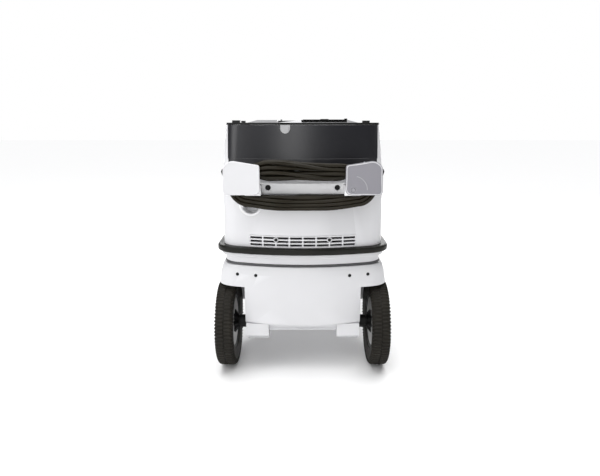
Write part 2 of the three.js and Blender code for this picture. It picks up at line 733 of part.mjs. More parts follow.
const MOTOR_Y = 40;
const onMotor = (profile) => turnedAlongZ(profile).translate(0, MOTOR_Y, 0);
add(
  "suction_motor",
  onMotor([[0, 300], [5, 300], [5, 341], [60, 341], [64, 345], [64, 410], [50, 424], [0, 426]]),
  steel,
);
add(
  "impeller",
  onMotor([[5.3, 304], [70, 304], [70, 306], [30, 324], [12, 331], [5.3, 331], [5.3, 304]]),
  greyPlastic,
);
add(
  "blower_housing",
  onMotor([[10, 334], [76, 334], [76, 266], [80, 266], [80, 338], [10, 338], [10, 334]]),
  blackPlastic,
);

export default machine;
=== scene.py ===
"""The looks of a mobile dust extractor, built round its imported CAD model. Metres, +Z up.

The rear, with the cable holder, faces -Y. Pieces take their places from the CAD nodes' boxes.
"""

import json
import math

import bmesh
import bpy
from mathutils import Matrix, Vector, geometry


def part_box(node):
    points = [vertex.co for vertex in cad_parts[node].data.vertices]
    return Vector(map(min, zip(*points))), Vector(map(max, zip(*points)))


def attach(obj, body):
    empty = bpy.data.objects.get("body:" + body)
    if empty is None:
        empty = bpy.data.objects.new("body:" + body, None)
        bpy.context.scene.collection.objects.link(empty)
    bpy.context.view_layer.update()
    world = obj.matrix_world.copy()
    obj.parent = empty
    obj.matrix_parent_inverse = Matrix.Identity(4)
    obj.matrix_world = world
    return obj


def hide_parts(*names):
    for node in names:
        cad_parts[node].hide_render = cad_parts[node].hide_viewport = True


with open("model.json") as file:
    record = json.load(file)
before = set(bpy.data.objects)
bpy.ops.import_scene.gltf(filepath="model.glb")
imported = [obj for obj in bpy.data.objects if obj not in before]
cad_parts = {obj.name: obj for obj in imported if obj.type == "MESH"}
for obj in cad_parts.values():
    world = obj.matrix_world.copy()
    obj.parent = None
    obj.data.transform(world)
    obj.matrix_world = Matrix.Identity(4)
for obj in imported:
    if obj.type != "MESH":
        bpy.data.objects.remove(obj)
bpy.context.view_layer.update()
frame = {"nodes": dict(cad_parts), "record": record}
nodes = frame["nodes"]
MM = 0.001
SIDES = (("left", -1), ("right", 1))
SHARP_ANGLE = math.radians(38)
REARWARD = (0, -1, 0)
BLIND_HOLE_Z = 218.5 * MM
BLIND_HOLES_X = (-136, -97, 97, 136)
REBUILT_PAIRS = ("tyre", "wheel_hub", "wheel_cap", "castor_wheel", "holder_screw", "grille_screw")
CARRIED = {
    "container": {"width": 1.6 * MM, "segments": 3},
    "head_housing": {"width": 1.2 * MM, "segments": 3},
    "bracket_left": {"width": 1.8 * MM, "segments": 4},
    "bracket_right": {"width": 1.8 * MM, "segments": 4},
    "cable_holder": {"width": 1.0 * MM, "segments": 3},
    "front_grip": {"width": 2.0 * MM, "segments": 4},
}


# ---------------------------------------------------------------- camera, lights and floor


def make_camera():
    """A camera behind the machine, level with the tray's rim and tipped down toward the grille."""
    distance, rim_height, tilt = 1.2214, 0.526, 13.35
    data = bpy.data.cameras.new("camera")
    data.sensor_width = 36
    data.lens = 29.17
    data.shift_x = -0.0045
    camera = bpy.data.objects.new("camera", data)
    camera.location = (0, -distance, rim_height)
    camera.rotation_euler = (math.radians(90 - tilt), 0, 0)
    bpy.context.scene.collection.objects.link(camera)
    bpy.context.scene.camera = camera


def area_light(name, place, aim, size, watts):
    """A rectangular soft lamp at place, turned toward aim."""
    data = bpy.data.lights.new(name, "AREA")
    data.shape = "RECTANGLE"
    data.size, data.size_y = size
    data.energy = watts
    light = bpy.data.objects.new(name, data)
    light.location = place
    light.rotation_euler = (Vector(aim) - Vector(place)).to_track_quat("-Z", "Y").to_euler()
    bpy.context.scene.collection.objects.link(light)


def white_room():
    """A room that looks white and lights the machine only dimly, so that the lamps shape it."""
    world = bpy.data.worlds.new("studio")
    world.use_nodes = True
    tree = world.node_tree
    output = tree.nodes["World Output"]
    dim = tree.nodes["Background"]
    dim.inputs["Color"].default_value = (0.96, 0.97, 1.0, 1)
    dim.inputs["Strength"].default_value = 0.16
    white = tree.nodes.new("ShaderNodeBackground")
    white.inputs["Color"].default_value = (1, 1, 1, 1)
    path = tree.nodes.new("ShaderNodeLightPath")
    mix = tree.nodes.new("ShaderNodeMixShader")
    tree.links.new(path.outputs["Is Camera Ray"], mix.inputs["Fac"])
    tree.links.new(dim.outputs["Background"], mix.inputs[1])
    tree.links.new(white.outputs["Background"], mix.inputs[2])
    tree.links.new(mix.outputs["Shader"], output.inputs["Surface"])
    bpy.context.scene.world = world


def make_studio():
    """Soft lamps round the machine under an even sky, in a white room."""
    area_light("key_left", (-1.15, -0.85, 0.95), (0, -0.2, 0.30), (0.5, 1.1), 6.5)
    area_light("strip_behind_camera", (-0.30, -2.4, 1.15), (0, -0.2, 0.49), (0.74, 1.0), 10.5)
    area_light("high_behind", (-0.5, -1.9, 2.1), (0, -0.3, 0.35), (1.2, 0.8), 10)
    area_light("front_panel", (0.8, 2.2, 1.3), (0, 0.2, 0.3), (1.8, 1.4), 9)
    area_light("low_front", (0.1, 2.4, 0.45), (0, 0, 0.02), (2.6, 0.6), 32)
    overhead = bpy.data.lights.new("overhead", "SUN")
    overhead.energy = 3.0
    overhead.angle = math.radians(60)
    sky = bpy.data.objects.new("overhead", overhead)
    bpy.context.scene.collection.objects.link(sky)
    white_room()
    make_floor()
    bpy.context.scene.view_settings.view_transform = "Standard"


def make_floor():
    """A plain pale floor, a hair below the tyres."""
    reach, gap = 14, 0.0004
    floor_mesh = bpy.data.meshes.new("floor")
    corners = [(-reach, -reach, 0), (reach, -reach, 0), (reach, reach, 0), (-reach, reach, 0)]
    floor_mesh.from_pydata(corners, [], [(0, 1, 2, 3)])
    floor = bpy.data.objects.new("floor", floor_mesh)
    floor.location.z = -gap
    material = bpy.data.materials.new("floor_white")
    material.use_nodes = True
    shader = material.node_tree.nodes["Principled BSDF"]
    shader.inputs["Base Color"].default_value = (0.94, 0.94, 0.94, 1)
    shader.inputs["Roughness"].default_value = 0.7
    floor_mesh.materials.append(material)
    bpy.context.scene.collection.objects.link(floor)


# ---------------------------------------------------------------- materials


class Paint:
    """A node material that is built up step by step over object coordinates."""

    def __init__(self, name, roughness, metallic=0.0, **sockets):
        self.material = bpy.data.materials.new(name)
        self.material.use_nodes = True
        self.tree = self.material.node_tree
        self.shader = self.tree.nodes["Principled BSDF"]
        self.shader.inputs["Roughness"].default_value = roughness
        self.shader.inputs["Metallic"].default_value = metallic
        for socket, value in sockets.items():
            self.shader.inputs[socket.replace("_", " ")].default_value = value
        self.place = self.add("ShaderNodeTexCoord").outputs["Object"]

    def add(self, kind):
        return self.tree.nodes.new(kind)

    def noise(self, scale, detail=2.0, stretch=(1, 1, 1)):
        mapping = self.add("ShaderNodeMapping")
        mapping.inputs["Scale"].default_value = stretch
        self.tree.links.new(self.place, mapping.inputs["Vector"])
        noise = self.add("ShaderNodeTexNoise")
        noise.inputs["Scale"].default_value = scale
        noise.inputs["Detail"].default_value = detail
        self.tree.links.new(mapping.outputs["Vector"], noise.inputs["Vector"])
        return noise.outputs["Fac"]

    def ramp(self, value, stops):
        ramp = self.add("ShaderNodeValToRGB")
        for element, (position, colour) in zip(ramp.color_ramp.elements, stops):
            element.position = position
            element.color = (*colour, 1)
        self.tree.links.new(value, ramp.inputs["Fac"])
        return ramp.outputs["Color"]

    def spread(self, value, low, high):
        spread = self.add("ShaderNodeMapRange")
        spread.inputs["To Min"].default_value = low
        spread.inputs["To Max"].default_value = high
        self.tree.links.new(value, spread.inputs["Value"])
        return spread.outputs["Result"]

    def feed(self, socket, value):
        self.tree.links.new(value, self.shader.inputs[socket])

    def painted_edge_highlight(self, colour, edge_highlight, amount=1.0):
        """Painted highlight: convex edges are painted lighter, standing in for light caught on their
        rounding.
        """
        edge = self.ramp(self.add("ShaderNodeNewGeometry").outputs["Pointiness"],
                         [(0.52, (0, 0, 0)), (0.62, (amount, amount, amount))])
        mix = self.add("ShaderNodeMix")
        mix.data_type = "RGBA"
        self.tree.links.new(edge, mix.inputs["Factor"])
        self.tree.links.new(colour, mix.inputs["A"])
        mix.inputs["B"].default_value = (*edge_highlight, 1)
        return mix.outputs["Result"]

    def bump(self, value, strength, distance=0.0003):
        bump = self.add("ShaderNodeBump")
        bump.inputs["Strength"].default_value = strength
        bump.inputs["Distance"].default_value = distance
        self.tree.links.new(value, bump.inputs["Height"])
        self.feed("Normal", bump.outputs["Normal"])


def shade(colour, factor):
    return tuple(min(1.0, c * factor) for c in colour)


def moulded(name, colour, roughness, grain=0.25, clouds=0.06, edge_highlight=None, shine=0.5):
    """Moulded plastic: spark-eroded grain, faint flow clouds and slightly uneven gloss."""
    paint = Paint(name, roughness, Specular_IOR_Level=shine)
    stops = [(0.3, shade(colour, 1 - clouds)), (0.7, shade(colour, 1 + clouds))]
    tint = paint.ramp(paint.noise(9, 3), stops)
    # Given a highlight colour, convex edges get a painted highlight in it.
    paint.feed("Base Color", paint.painted_edge_highlight(tint, edge_highlight, 0.5) if edge_highlight else tint)
    paint.feed("Roughness", paint.spread(paint.noise(45, 4), roughness - 0.07, roughness + 0.09))
    paint.bump(paint.noise(1400, 2), grain)
    return paint.material


def polished(name, colour, roughness):
    """Polished plastic: even and deep, with hairline wiping marks in its gloss."""
    paint = Paint(name, roughness, Coat_Weight=0.2, Coat_Roughness=0.5)
    stops = [(0.35, shade(colour, 0.85)), (0.65, shade(colour, 1.15))]
    paint.feed("Base Color", paint.ramp(paint.noise(6, 2), stops))
    wiped = paint.noise(60, 3, (1, 1, 14))
    paint.feed("Roughness", paint.spread(wiped, roughness - 0.03, roughness + 0.05))
    paint.bump(paint.noise(30, 2), 0.02)
    return paint.material


def rubbery(name, colour, roughness, bloom=1.8):
    """Rubber: dull, with a fine skin and a little grey bloom."""
    paint = Paint(name, roughness, Specular_IOR_Level=0.2)
    stops = [(0.35, colour), (0.8, shade(colour, bloom))]
    paint.feed("Base Color", paint.ramp(paint.noise(28, 5), stops))
    paint.feed("Roughness", paint.spread(paint.noise(80, 3), roughness - 0.08, roughness + 0.1))
    paint.bump(paint.noise(900, 3), 0.3)
    return paint.material


def metal(name, colour, roughness, stretch):
    """Plated or cast metal, brushed along one direction by its stretched noise."""
    paint = Paint(name, roughness, 1.0)
    stops = [(0.3, shade(colour, 0.88)), (0.7, colour)]
    paint.feed("Base Color", paint.ramp(paint.noise(20, 3), stops))
    brushed = paint.noise(300, 4, stretch)
    paint.feed("Roughness", paint.spread(brushed, roughness - 0.08, roughness + 0.12))
    paint.bump(brushed, 0.08)
    return paint.material


def fleece(name, colour):
    """Filter fleece: felted fibres in a warm off-white."""
    paint = Paint(name, 0.95)
    fibres = paint.noise(420, 6, (1, 3, 1))
    paint.feed("Base Color", paint.ramp(fibres, [(0.3, shade(colour, 0.8)), (0.7, colour)]))
    paint.bump(fibres, 0.6, 0.0006)
    return paint.material


# A plastic's lighter edge colour, where given, is a painted highlight on its convex edges.
light_plastic = moulded(
    "light_plastic_moulded", (0.66, 0.66, 0.675), 0.42, 0.12, 0.02, (0.76, 0.76, 0.78),
)
# Painted shade: a darker grey copy of the light plastic, for the right bracket's plate and the cap,
# ring and arc on it.
painted_shade_plastic = moulded(
    "painted_shade_grey_plastic_moulded", (0.235, 0.23, 0.255), 0.42, 0.12, 0.03, (0.5, 0.5, 0.52),
)
# Painted light: a lighter copy of the light plastic, for the holder bar that sits in shade, the cup's
# ring and the tray's front wall.
painted_light_plastic = moulded("painted_light_plastic_moulded", (0.84, 0.84, 0.85), 0.4, 0.12, 0.02)
matt_black = moulded("matt_black_moulded", (0.012, 0.012, 0.012), 0.8, shine=0.0)
black_plastic = moulded(
    "black_plastic_moulded", (0.009, 0.009, 0.009), 0.45, edge_highlight=(0.03, 0.03, 0.03), shine=0.2,
)
grey_plastic = moulded(
    "grey_plastic_moulded", (0.075, 0.075, 0.08), 0.45, edge_highlight=(0.14, 0.14, 0.14), shine=0.35,
)
hub_plastic = moulded("hub_plastic_moulded", (0.45, 0.45, 0.44), 0.45, 0.15, 0.05)
mark_plastic = moulded("control_marks_moulded", (0.55, 0.55, 0.56), 0.5)
gloss_plastic = polished("smoke_gloss", (0.0045, 0.0045, 0.0075), 0.33)
seal_rubber = rubbery("seal_rubber_satin", (0.007, 0.007, 0.005), 0.36)
tyre_rubber = rubbery("tyre_rubber_dull", (0.009, 0.0075, 0.005), 0.55)
cable_sheath = rubbery("cable_sheath_smooth", (0.011, 0.0085, 0.004), 0.40, 1.5)
steel = metal("zinc_plated_steel", (0.62, 0.62, 0.64), 0.32, (12, 1, 1))
motor_metal = metal("cast_aluminium", (0.55, 0.55, 0.57), 0.45, (1, 1, 6))
filter_media = fleece("filter_fleece", (0.80, 0.75, 0.62))

SLOT_MATERIALS = {
    "light_plastic": light_plastic,
    "black_plastic": black_plastic,
    "grey_plastic": grey_plastic,
    "gloss_plastic": gloss_plastic,
    "seal_rubber": seal_rubber,
    "tyre_rubber": tyre_rubber,
    "cable_sheath": cable_sheath,
    "steel": steel,
    "motor_metal": motor_metal,
    "filter_media": filter_media,
}
NODE_MATERIALS = {
    # The right plate is painted darker than the left one: painted shade.
    "bracket_right": painted_shade_plastic,
    # The holder bar is painted lighter against the shade it sits in: painted light.
    "cable_holder": painted_light_plastic,
    "console_lid": matt_black,
    # The cup is painted lighter for a painted highlight on its ring.
    "cable_cup": painted_light_plastic,
    "tank_seal": grey_plastic,
}


# ---------------------------------------------------------------- building pieces


def soften(obj, width, segments=2, dissolve=0.4):
    """Rounds the sharp edges of a piece by width, and shades the rest smooth.

    Faces that meet at less than dissolve degrees are joined first, unless dissolve is 0.
    """
    obj.data.polygons.foreach_set("use_smooth", [True] * len(obj.data.polygons))
    if dissolve:
        flat = obj.modifiers.new("merge_flats", "DECIMATE")
        flat.decimate_type = "DISSOLVE"
        flat.angle_limit = math.radians(dissolve)
    bevel = obj.modifiers.new("edges", "BEVEL")
    bevel.width = width
    bevel.segments = segments
    bevel.limit_method = "ANGLE"
    bevel.angle_limit = SHARP_ANGLE
    bevel.harden_normals = True
    bevel.miter_outer = "MITER_ARC"
    weighted = obj.modifiers.new("shading", "WEIGHTED_NORMAL")
    weighted.keep_sharp = True


def carry_over(name, width=0.8 * MM, **options):
    """Gives a CAD node its material and soft edges."""
    node = nodes[name]
    row = next(part for part in frame["record"]["subparts"] if part["node"] == name)
    chosen = NODE_MATERIALS.get(name, SLOT_MATERIALS[row["material_slot"]])
    node.data.materials.clear()
    node.data.materials.append(chosen)
    if "custom_normal" in node.data.attributes:
        node.data.attributes.remove(node.data.attributes["custom_normal"])
    weld = node.modifiers.new("joined_facets", "WELD")
    weld.merge_threshold = 0.002 * MM
    soften(node, width, **options)


def add_piece(name, mesh, material, body="machine"):
    """A visible piece with its material, that rides one of the CAD's bodies."""
    piece = bpy.data.objects.new(name, mesh)
    bpy.context.scene.collection.objects.link(piece)
    mesh.materials.append(material)
    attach(piece, body)
    return piece


def mesh_of(name, build):
    """A smooth-shaded mesh from the bmesh that build(bm) fills."""
    bm = bmesh.new()
    build(bm)
    bmesh.ops.recalc_face_normals(bm, faces=bm.faces)
    mesh = bpy.data.meshes.new(name)
    bm.to_mesh(mesh)
    bm.free()
    mesh.polygons.foreach_set("use_smooth", [True] * len(mesh.polygons))
    return mesh


def ringed(name, rings, place, count=64, around=None, between=None):
    """A closed piece of rings about place's z axis. Each ring is (radius, height).

    A radius of 0 closes an end to a point. around(angle, radius, height) may reshape a ring.
    With a second list of rings, pairs of points follow the first list and the second in turn.
    """
    def build(bm):
        loops = []
        for first, second in zip(rings, between or rings):
            if first[0] == 0:
                loops.append([bm.verts.new(place @ Vector((0, 0, first[1])))])
                continue
            loop = []
            for i in range(count):
                angle = 2 * math.pi * i / count
                radius, height = second if i % 4 > 1 else first
                reach = around(angle, radius, height) if around else radius
                x, y = reach * math.cos(angle), reach * math.sin(angle)
                loop.append(bm.verts.new(place @ Vector((x, y, height))))
            loops.append(loop)
        pairs = list(zip(loops, loops[1:]))
        if rings[0][0] != 0:
            pairs.append((loops[-1], loops[0]))
        for low, high in pairs:
            for i in range(count):
                j = (i + 1) % count
                near = [low[i % len(low)], low[j % len(low)]]
                far = [high[j % len(high)], high[i % len(high)]]
                bm.faces.new(list(dict.fromkeys(near + far)))

    return mesh_of(name, build)


def prism(name, corners, depth, place):
    """An outline in place's xy plane, given a depth along its z."""
    def build(bm):
        low = [bm.verts.new(place @ Vector((x, y, 0))) for x, y in corners]
        high = [bm.verts.new(place @ Vector((x, y, depth))) for x, y in corners]
        bm.faces.new(low[::-1])
        bm.faces.new(high)
        for i in range(len(corners)):
            j = (i + 1) % len(corners)
            bm.faces.new((low[i], low[j], high[j], high[i]))

    return mesh_of(name, build)


def bar_mm(name, low, high, place=Matrix()):
    """A block between two corners in place's frame, given in millimetres."""
    x0, y0, z0 = (c * MM for c in low)
    x1, y1, z1 = (c * MM for c in high)
    corners = [(x0, y0), (x1, y0), (x1, y1), (x0, y1)]
    return prism(name, corners, z1 - z0, place @ Matrix.Translation((0, 0, z0)))


def frame_at(origin, outward, upward=(0, 0, 1)):
    """A frame at origin whose z points outward."""
    z = Vector(outward).normalized()
    x = Vector(upward).cross(z).normalized()
    y = z.cross(x)
    return Matrix.Translation(Vector(origin)) @ Matrix((x, y, z)).transposed().to_4x4()


def smooth(t):
    """An even step from 0 to 1 while t goes from 0 to 1."""
    t = min(1.0, max(0.0, t))
    return t * t * (3 - 2 * t)


def blend(a, b, t):
    return a + (b - a) * t


def wall_point(name, x, z):
    """Where the rear of a CAD node stands at x and z."""
    node = nodes[name]
    behind = Vector((x, -1, z))
    hit, point, _, _ = node.ray_cast(node.matrix_world.inverted() @ behind, Vector((0, 1, 0)))
    return point if hit else Vector((x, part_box(name)[0].y, z))


# ---------------------------------------------------------------- the mains cable


class Cable:
    """The mains cable: out of its cup, eleven and a half turns round the holder, up into its plug.

    Its turns fill four rows of three strands, row by row outward, from the wall to the front and
    back again. Where they fold round the ends they close up into three rows of four.
    """

    diameter = 7.3 * MM
    length = 6.75
    exit = (-0.0943, -0.2676, 0.366)
    lead = [
        (-94.3, -267.6, 366), (-91.8, -269.7, 366), (-89.3, -271.7, 366), (-85.8, -273.6, 366.2),
        (-82, -274.6, 366.6), (-77, -275.1, 367.1), (-72, -275.2, 368), (-66, -275.2, 369.1),
        (-60, -275.2, 370.5), (-50, -275.3, 373.5), (-40, -275.5, 377.2), (-28, -275.9, 381.5),
        (-15, -276.6, 384.8), (0, -278, 386), (14, -280, 386.1), (28, -282.4, 386.1),
    ]
    tail = [
        (40, -283.9, 365.6), (52, -283, 366.2), (64, -281.6, 367.2), (75, -279.8, 368.6),
        (85, -277.9, 370.4), (93, -276.3, 372.5), (100, -275.2, 374.8), (108, -273.6, 378.2),
        (113.5, -272.2, 380.5), (118, -270.8, 383), (122, -269.4, 386), (125, -268.3, 389.5),
        (126.5, -267.8, 392.4), (127, -267.6, 395.5),
    ]
    run_rows = [0, 0, 0, 1, 1, 1, 2, 2, 2, 3, 3, 3]
    run_layers = [0, 1, 2, 2, 1, 0, 0, 1, 2, 2, 1, 0]
    fold_of = {
        (0, 0): (0, 0), (1, 0): (1, 0), (2, 0): (2, 0), (3, 0): (2, 1),
        (0, 1): (0, 1), (1, 1): (1, 1), (2, 1): (1, 2), (3, 1): (2, 2),
        (0, 2): (0, 2), (1, 2): (0, 3), (2, 2): (1, 3), (3, 2): (2, 3),
    }
    fold_x, fold_z, fold_radius = 102, 409, 21.2
    fold_face, fold_layer_pitch = -283.1, 7.3
    row_pitch = 7.35
    run_half = 62
    run_face, run_layer_pitch = -284.4, 7.4
    even_half, spread_over = 15, 40
    first_run_start, last_run_stop = 42, 30
    top_row_z, bottom_row_z = 424.4, 386.2
    straight_half = 66
    sag = 2.2
    middle_stagger = -3.6
    hump = 2.2
    loose_half, looseness = 80, 0.45

    def strand(self, index, x, top):
        """A strand's y and z in millimetres where it passes x, above or below the holder."""
        row, layer = self.run_rows[index], self.run_layers[index]
        fold_row, fold_layer = self.fold_of[row, layer]
        run_y = self.run_face - self.run_layer_pitch * layer
        fold_y = self.fold_face - self.fold_layer_pitch * fold_layer
        y = blend(run_y, fold_y, smooth((abs(x) - self.even_half) / self.spread_over))
        radius = self.fold_radius + self.row_pitch * fold_row
        if top:
            # The rows lie looser toward the left, and the middle layer sits between the others.
            pitch = blend(8.0, 9.9, self.along_run(x))
            z = self.top_row_z + pitch * row + (self.middle_stagger if layer == 1 else 0)
            closing = smooth((abs(x) - self.straight_half) / (self.fold_x - self.straight_half))
            return y, blend(z, self.fold_z + radius, closing)
        closing = (abs(x) / self.fold_x) ** self.sag
        return y, blend(self.bottom_row_z - self.row_pitch * row, self.fold_z - radius, closing)

    def along_run(self, x):
        """From 0 at the right end of a run to 1 at its left end."""
        return smooth((self.run_half - x) / (2 * self.run_half))

    def bottom_run(self, index, start, stop):
        step = 8.5
        count = round((stop - start) / step)
        xs = [blend(start, stop, i / count) for i in range(count + 1)]
        return [(x, *self.strand(index, x, False)) for x in xs]

    def fold(self, index, side):
        """Half a turn round one end: upward on the right and downward on the left."""
        fold_row, _ = self.fold_of[self.run_rows[index], self.run_layers[index]]
        y, _ = self.strand(index, side * self.fold_x, False)
        radius = self.fold_radius + self.row_pitch * fold_row
        count = 9
        points = []
        for i in range(1, count):
            angle = side * math.pi * (i / count - 0.5)
            across = side * (self.fold_x + radius * math.cos(angle))
            points.append((across, y, self.fold_z + radius * math.sin(angle)))
        return points

    def top_run(self, index):
        """From right to left. The strand changes places from index to index + 1 on its way."""
        points = []
        count = 24
        last = min(index + 1, len(self.run_rows) - 1)
        for i in range(count + 1):
            x = blend(self.fold_x, -self.fold_x, i / count)
            change = self.along_run(x)
            y0, z0 = self.strand(index, x, True)
            y1, z1 = self.strand(last, x, True)
            changes_row = self.run_rows[index] != self.run_rows[last]
            rise = self.hump * math.sin(math.pi * change) if changes_row else 0
            toward = -1 if self.run_layers[index] == 2 else 1
            points.append((x, blend(y0, y1, change) + toward * rise, blend(z0, z1, change)))
        return points

    def route(self):
        """The cable's points from its exit to the plug, in metres."""
        turns = len(self.run_rows) - 1
        points = list(self.lead)
        points += self.bottom_run(0, self.first_run_start, self.fold_x)
        for index in range(turns):
            points += self.fold(index, 1) + self.top_run(index) + self.fold(index + 1, -1)
            stop = self.fold_x if index < turns - 1 else self.last_run_stop
            points += self.bottom_run(index + 1, -self.fold_x, stop)
        points += self.tail
        return [Vector(self.wander(i, point)) * MM for i, point in enumerate(points)]

    def wander(self, i, point):
        """Hand-wound turns wander a little between the folds."""
        x, y, z = point
        if abs(x) > self.loose_half:
            return point
        reach = self.looseness * (1 - (x / self.loose_half) ** 2)
        return x, y + 0.5 * reach * math.sin(0.037 * i), z + reach * math.sin(0.023 * i + x / 31)


def make_cable():
    cable = Cable()
    points = cable.route()
    curve = bpy.data.curves.new("mains_cable", "CURVE")
    curve.dimensions = "3D"
    curve.bevel_depth = cable.diameter / 2
    curve.bevel_resolution = 5
    curve.resolution_u = 3
    curve.use_fill_caps = True
    spline = curve.splines.new("BEZIER")
    spline.bezier_points.add(len(points) - 1)
    for bezier, before, here, after in zip(
        spline.bezier_points, [points[0]] + points, points, points[1:] + [points[-1]]
    ):
        along = (after - before).normalized()
        bezier.co = here
        bezier.handle_left = here - along * (here - before).length / 3
        bezier.handle_right = here + along * (after - here).length / 3
    curve.materials.append(cable_sheath)
    piece = bpy.data.objects.new("mains_cable", curve)
    bpy.context.scene.collection.objects.link(piece)
    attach(piece, "machine")
    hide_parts("cable_lead", "cable_coil", "cable_tail")
    return cable, piece


def make_strain_relief():
    """A tapered, ringed sleeve from the cup's boss to the cable's first bend."""
    along = Vector((0.777, -0.629, 0)).normalized()
    length = 30 * MM
    foot = Vector(Cable.exit) - along * length
    rings = [(0, 0), (6.2 * MM, 0), (6.4 * MM, 0.8 * MM), (6.4 * MM, 3.6 * MM)]
    ribs = 6
    for i in range(ribs):
        start = 4.2 * MM + i * 4.2 * MM
        radius = blend(6.2, 4.7, i / (ribs - 1)) * MM
        waist = radius - 1.0 * MM
        rings += [(waist, start), (waist, start + 1.4 * MM)]
        rings += [(radius, start + 1.9 * MM), (radius, start + 3.6 * MM)]
    rings += [(4.2 * MM, length), (0, length)]
    mesh = ringed("strain_relief_sleeve", rings, frame_at(foot, along), 40)
    piece = add_piece("strain_relief_sleeve", mesh, seal_rubber)
    soften(piece, 0.25 * MM, 1, dissolve=0)
    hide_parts("strain_relief")
    return piece


def make_plug():
    """A moulded plug with a ringed neck, a waisted grip and two round pins."""
    low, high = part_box("mains_plug")
    x, y = (low.x + high.x) / 2, (low.y + high.y) / 2
    foot = Matrix.Translation((x, y, low.z))
    neck_top, body_top = 13 * MM, 42 * MM
    half_x, half_y = (high.x - low.x) / 2, (high.y - low.y) / 2

    def rounded(angle, radius, height):
        """The section turns from round at the neck to a rounded oblong at the body."""
        if height < neck_top:
            return radius
        across, deep = radius, radius * half_y / half_x
        squareness = 3.2
        c, s = abs(math.cos(angle)) / across, abs(math.sin(angle)) / deep
        return (c ** squareness + s ** squareness) ** (-1 / squareness)

    rings = [(0, 0.2), (4.5, 0.2)]
    neck_ribs = 4
    for i in range(neck_ribs):
        start = 0.8 + 3.2 * i
        crest = blend(4.8, 7.4, i / (neck_ribs - 1))
        rings += [(crest, start), (crest, start + 1.7)]
        rings += [(crest - 1, start + 2.1), (crest - 1, start + 2.8)]
    rings += [
        (9.5, 14.5), (12.2, 16.5), (13.2, 20), (12.5, 24), (12.3, 28), (12.9, 33), (13.4, 37),
        (13.4, 40), (12.6, 41.6), (11.5, 42), (0, 42),
    ]
    mesh = ringed("plug_body", rings_mm(rings), foot, 64, rounded)
    body = add_piece("plug_body", mesh, black_plastic)
    soften(body, 0.3 * MM, 1, dissolve=0)
    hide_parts("mains_plug")
    pieces = [body]
    for name, side in SIDES:
        pin = Matrix.Translation((x + side * 7 * MM, y, low.z + body_top))
        sleeve = [(0, -1), (2.2, -1), (2.2, 6), (0, 6)]
        sleeve_mesh = ringed("sleeve", rings_mm(sleeve), pin, 24)
        pieces.append(add_piece(f"plug_sleeve_{name}", sleeve_mesh, black_plastic))
        tip = [(0, 6), (2.1, 6), (2.1, 12.6), (1.5, 13.6), (0, 14)]
        tip_mesh = ringed("pin", rings_mm(tip), pin, 24)
        pieces.append(add_piece(f"plug_pin_{name}", tip_mesh, steel))
    return pieces


def declare_cable():
    cable, piece = make_cable()
    relief = make_strain_relief()
    plug = make_plug()


# ---------------------------------------------------------------- rear wheels


def wheel_frame(node, side):
    """At a wheel's centre, with z along the axle and away from the machine."""
    low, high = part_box(node)
    return frame_at((low + high) / 2, (side, 0, 0))


def rings_mm(rings, side=1):
    """Rings given in millimetres, in metres; a side of -1 turns their heights round."""
    return [(radius * MM, side * height * MM) for radius, height in rings]


def make_tyre(name, side):
    """A solid rubber tyre: a smooth carcass under two bands of cross ribs with a groove between."""
    place = wheel_frame(f"tyre_{name}", side)
    body = f"wheel_{name}"
    carcass = [
        (60, 13), (61, 15.2), (66, 17), (74, 17.4), (76, 18.2), (82, 18.4), (86, 17.4), (90, 15.6),
        (92.4, 12), (92.4, -12), (90, -15.6), (86, -17.4), (82, -18.4), (76, -18.2), (74, -17.4),
        (66, -17), (61, -15.2), (60, -13),
    ]
    carcass_mesh = ringed(f"tyre_{name}_carcass", rings_mm(carcass), place, 96)
    pieces = [add_piece(f"tyre_{name}_carcass", carcass_mesh, tyre_rubber, body)]
    ribs = 76
    rib = [
        (82, 1.2), (94.6, 1.2), (95, 1.6), (95, 12), (93.8, 16.2),
        (90.5, 18.9), (87.5, 19.5), (83, 19.3), (82, 17),
    ]
    gap = [
        (82, 1.2), (93.2, 1.2), (93.4, 1.6), (93.4, 11.6), (92.3, 15),
        (89.6, 17.1), (87, 17.9), (83, 18), (82, 17),
    ]
    for edge in (-1, 1):
        half_a_rib = Matrix.Rotation(math.pi / ribs if edge > 0 else 0, 4, "Z")
        mesh = ringed(
            f"tyre_{name}_tread", rings_mm(rib, edge), place @ half_a_rib, 4 * ribs,
            between=rings_mm(gap, edge),
        )
        band = "inner" if edge < 0 else "outer"
        pieces.append(add_piece(f"tyre_{name}_tread_{band}", mesh, tyre_rubber, body))
    for piece in pieces:
        soften(piece, 0.25 * MM, 1, dissolve=0)
    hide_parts(f"tyre_{name}")


